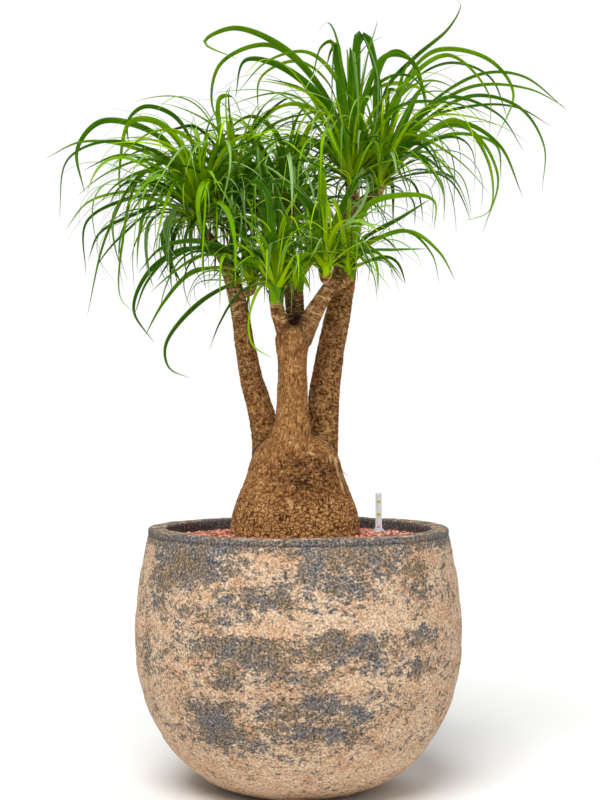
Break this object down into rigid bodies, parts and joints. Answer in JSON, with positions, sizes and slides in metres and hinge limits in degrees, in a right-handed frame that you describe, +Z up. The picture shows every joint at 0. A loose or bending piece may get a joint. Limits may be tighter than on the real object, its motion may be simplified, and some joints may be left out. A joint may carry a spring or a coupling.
{
  "type": "potted ponytail palm",
  "caption": "Potted palm-like house plant: a swollen stem base with bark-covered trunks and heads of long arching strap leaves, in a round-bellied pot of clay granules with a water gauge",
  "frame": {"origin": "centre of the pot's round foot, on its underside", "axes": "+Z up along the pot's axis and the plant's height, -Y towards the plant's front, +X to its right as seen from the front"},
  "size_m": [0.791, 0.5281, 1.211],
  "materials": {
    "pot": "rough, matte, sandy peach and grey mottled clay with level ridges",
    "clay_granules": "matte, loose fired clay granules, reddish pink",
    "bark": "matte, corky plates on the stem base, fibrous fissures and leaf-scar rings above",
    "gauge_clear": "clear, polished, with plain yellow level bars",
    "gauge_grey": "satin, pale grey",
    "gauge_red": "satin, orange-red",
    "leaf": "smooth, slightly waxy, with fine parallel veins and dry tips"
  },
  "bodies": {
    "planter": {"pot": "pot", "clay_granules": "clay_granules", "trunk": "bark", "gauge_tube": "gauge_clear", "gauge_collar": "gauge_grey", "head_left_out": "leaf", "head_left_in": "leaf", "head_left_low": "leaf", "head_mid_front": "leaf", "head_mid_back": "leaf", "head_mid_high": "leaf", "head_mid_left": "leaf", "head_mid_right": "leaf", "head_top_left": "leaf", "head_top_right": "leaf"},
    "float": {"gauge_float": "gauge_red"}
  },
  "joints": [
    {"name": "float_slide", "type": "slide", "parent": "planter", "child": "float", "axis": [0, 0, 1], "range_m": [0, 0.045]}
  ]
}
